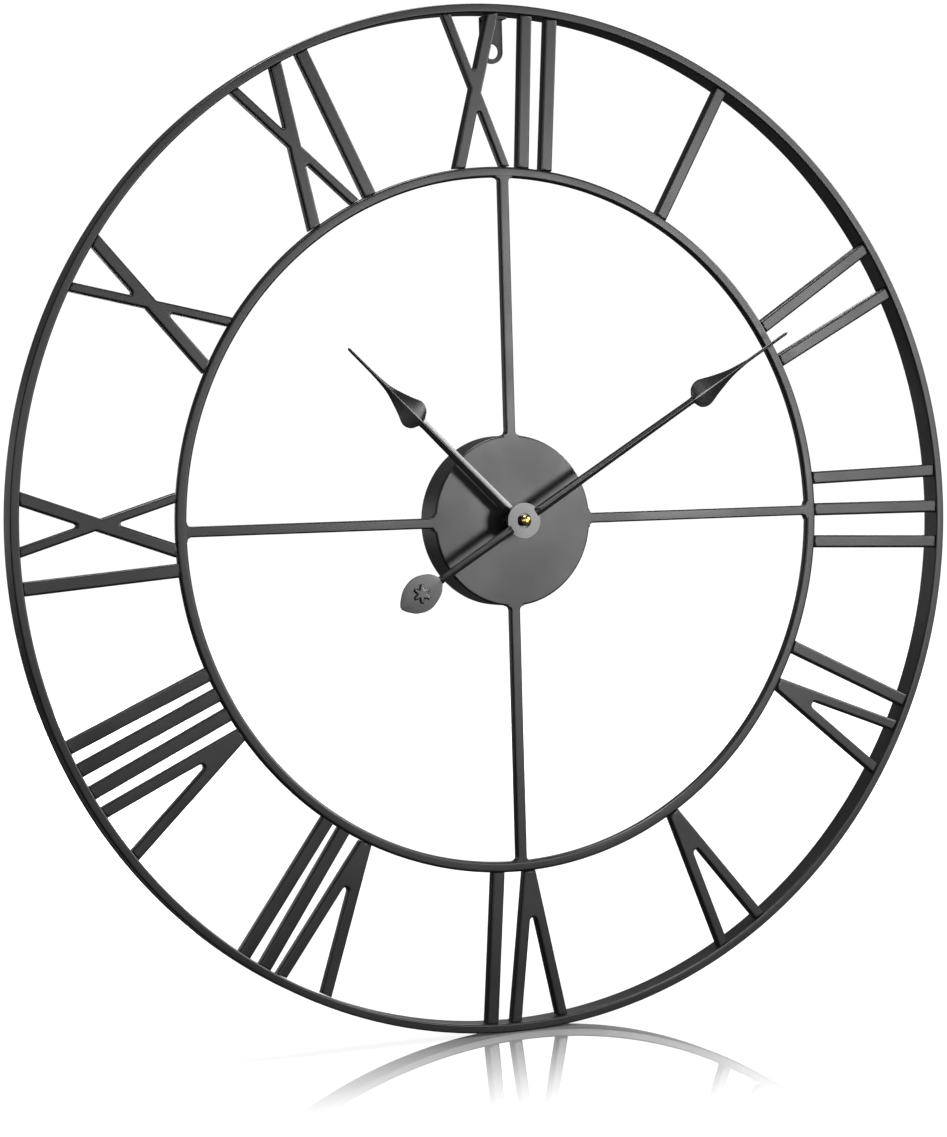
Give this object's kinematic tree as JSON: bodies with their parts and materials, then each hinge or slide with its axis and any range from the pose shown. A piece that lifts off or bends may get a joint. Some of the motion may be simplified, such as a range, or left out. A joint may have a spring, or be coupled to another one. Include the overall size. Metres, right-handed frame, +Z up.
{
  "type": "wall clock",
  "caption": "Open-frame round wall clock: Roman numeral strokes between two metal rings, a hub cup on spokes over a quartz movement, and creased spade hands.",
  "frame": {"origin": "where the wall nail bears, at the top of the hanger hole, halfway through its plate", "axes": "+X to the right and +Z up as the dial is read; the dial faces -Y and the wall is on the +Y side"},
  "size_m": [0.6, 0.0392, 0.6],
  "materials": {
    "charcoal_paint": "satin",
    "hand_paint": "satin paint",
    "brass": "machined",
    "bright_steel": "machined",
    "case_plastic": "matte",
    "gear_plastic": "satin",
    "board": "solder mask",
    "copper_wire": "enamelled wire",
    "rubber": "matte",
    "cell_wrap": "film wrap"
  },
  "bodies": {
    "frame": {"outer_ring": "charcoal_paint", "inner_ring": "charcoal_paint", "hub_cup": "charcoal_paint", "spoke_12": "charcoal_paint", "spoke_3": "charcoal_paint", "spoke_6": "charcoal_paint", "spoke_9": "charcoal_paint", "hour_12_X_1": "charcoal_paint", "hour_12_I_2": "charcoal_paint", "hour_12_I_3": "charcoal_paint", "hour_1_I_1": "charcoal_paint", "hour_2_I_1": "charcoal_paint", "hour_2_I_2": "charcoal_paint", "hour_3_I_1": "charcoal_paint", "hour_3_I_2": "charcoal_paint", "hour_3_I_3": "charcoal_paint", "hour_4_I_1": "charcoal_paint", "hour_4_V_2": "charcoal_paint", "hour_5_V_1": "charcoal_paint", "hour_6_V_1": "charcoal_paint", "hour_6_I_2": "charcoal_paint", "hour_7_V_1": "charcoal_paint", "hour_7_I_2": "charcoal_paint", "hour_7_I_3": "charcoal_paint", "hour_8_V_1": "charcoal_paint", "hour_8_I_2": "charcoal_paint", "hour_8_I_3": "charcoal_paint", "hour_8_I_4": "charcoal_paint", "hour_9_I_1": "charcoal_paint", "hour_9_X_2": "charcoal_paint", "hour_10_X_1": "charcoal_paint", "hour_11_X_1": "charcoal_paint", "hour_11_I_2": "charcoal_paint", "hanger": "charcoal_paint", "threaded_bush": "brass", "face_washer": "brass", "gasket": "rubber", "hex_nut": "brass", "case_front": "case_plastic", "case_back": "case_plastic", "stator": "bright_steel", "coil": "copper_wire", "train_bridge": "case_plastic", "circuit_board": "board", "contact_plus": "bright_steel", "contact_minus": "bright_steel"},
    "minute": {"minute_arbor": "bright_steel", "minute_collet": "brass", "minute_hand": "hand_paint", "hand_nut": "brass"},
    "hour": {"hour_wheel": "gear_plastic", "hour_hand": "hand_paint"},
    "motion": {"motion_wheel": "gear_plastic"},
    "knob": {"setting_knob": "gear_plastic"},
    "rotor": {"rotor": "bright_steel"},
    "intermediate": {"intermediate_wheel": "gear_plastic"},
    "second": {"second_wheel": "gear_plastic"},
    "third": {"third_wheel": "gear_plastic"},
    "centre": {"centre_wheel": "gear_plastic"},
    "battery": {"battery": "cell_wrap"}
  },
  "joints": [
    {"name": "minute_turn", "type": "hinge", "parent": "frame", "child": "minute", "pos_m": [0, -0.00405, -0.2791], "axis": [0, 1, 0], "continuous": true},
    {"name": "hour_turn", "type": "hinge", "parent": "frame", "child": "hour", "pos_m": [0, -0.00405, -0.2791], "axis": [0, 1, 0], "continuous": true},
    {"name": "motion_turn", "type": "hinge", "parent": "frame", "child": "motion", "pos_m": [0.00996, -0.00405, -0.27997], "axis": [0, 1, 0], "continuous": true},
    {"name": "knob_turn", "type": "hinge", "parent": "frame", "child": "knob", "pos_m": [0.01815, -0.00405, -0.27424], "axis": [0, 1, 0], "continuous": true},
    {"name": "rotor_turn", "type": "hinge", "parent": "frame", "child": "rotor", "pos_m": [0.0111, -0.00405, -0.26833], "axis": [0, 1, 0], "continuous": true},
    {"name": "intermediate_turn", "type": "hinge", "parent": "frame", "child": "intermediate", "pos_m": [0.0052, -0.00405, -0.2642], "axis": [0, 1, 0], "continuous": true},
    {"name": "second_turn", "type": "hinge", "parent": "frame", "child": "second", "pos_m": [-0.00307, -0.00405, -0.26566], "axis": [0, 1, 0], "continuous": true},
    {"name": "third_turn", "type": "hinge", "parent": "frame", "child": "third", "pos_m": [-0.00935, -0.00405, -0.2737], "axis": [0, 1, 0], "continuous": true},
    {"name": "centre_turn", "type": "hinge", "parent": "frame", "child": "centre", "pos_m": [0, -0.00405, -0.2791], "axis": [0, 1, 0], "continuous": true},
    {"name": "battery_slide", "type": "slide", "parent": "frame", "child": "battery", "axis": [0, 1, 0], "range_m": [0, 0.03]}
  ],
  "couplings": [
    {"joint": "hour_turn", "follows": "minute_turn", "ratio": 0.083333},
    {"joint": "motion_turn", "follows": "minute_turn", "ratio": -0.33333},
    {"joint": "knob_turn", "follows": "minute_turn", "ratio": 1},
    {"joint": "intermediate_turn", "follows": "rotor_turn", "ratio": -0.2},
    {"joint": "second_turn", "follows": "rotor_turn", "ratio": 0.033333},
    {"joint": "third_turn", "follows": "rotor_turn", "ratio": -0.0044444},
    {"joint": "centre_turn", "follows": "rotor_turn", "ratio": 0.00055556}
  ]
}
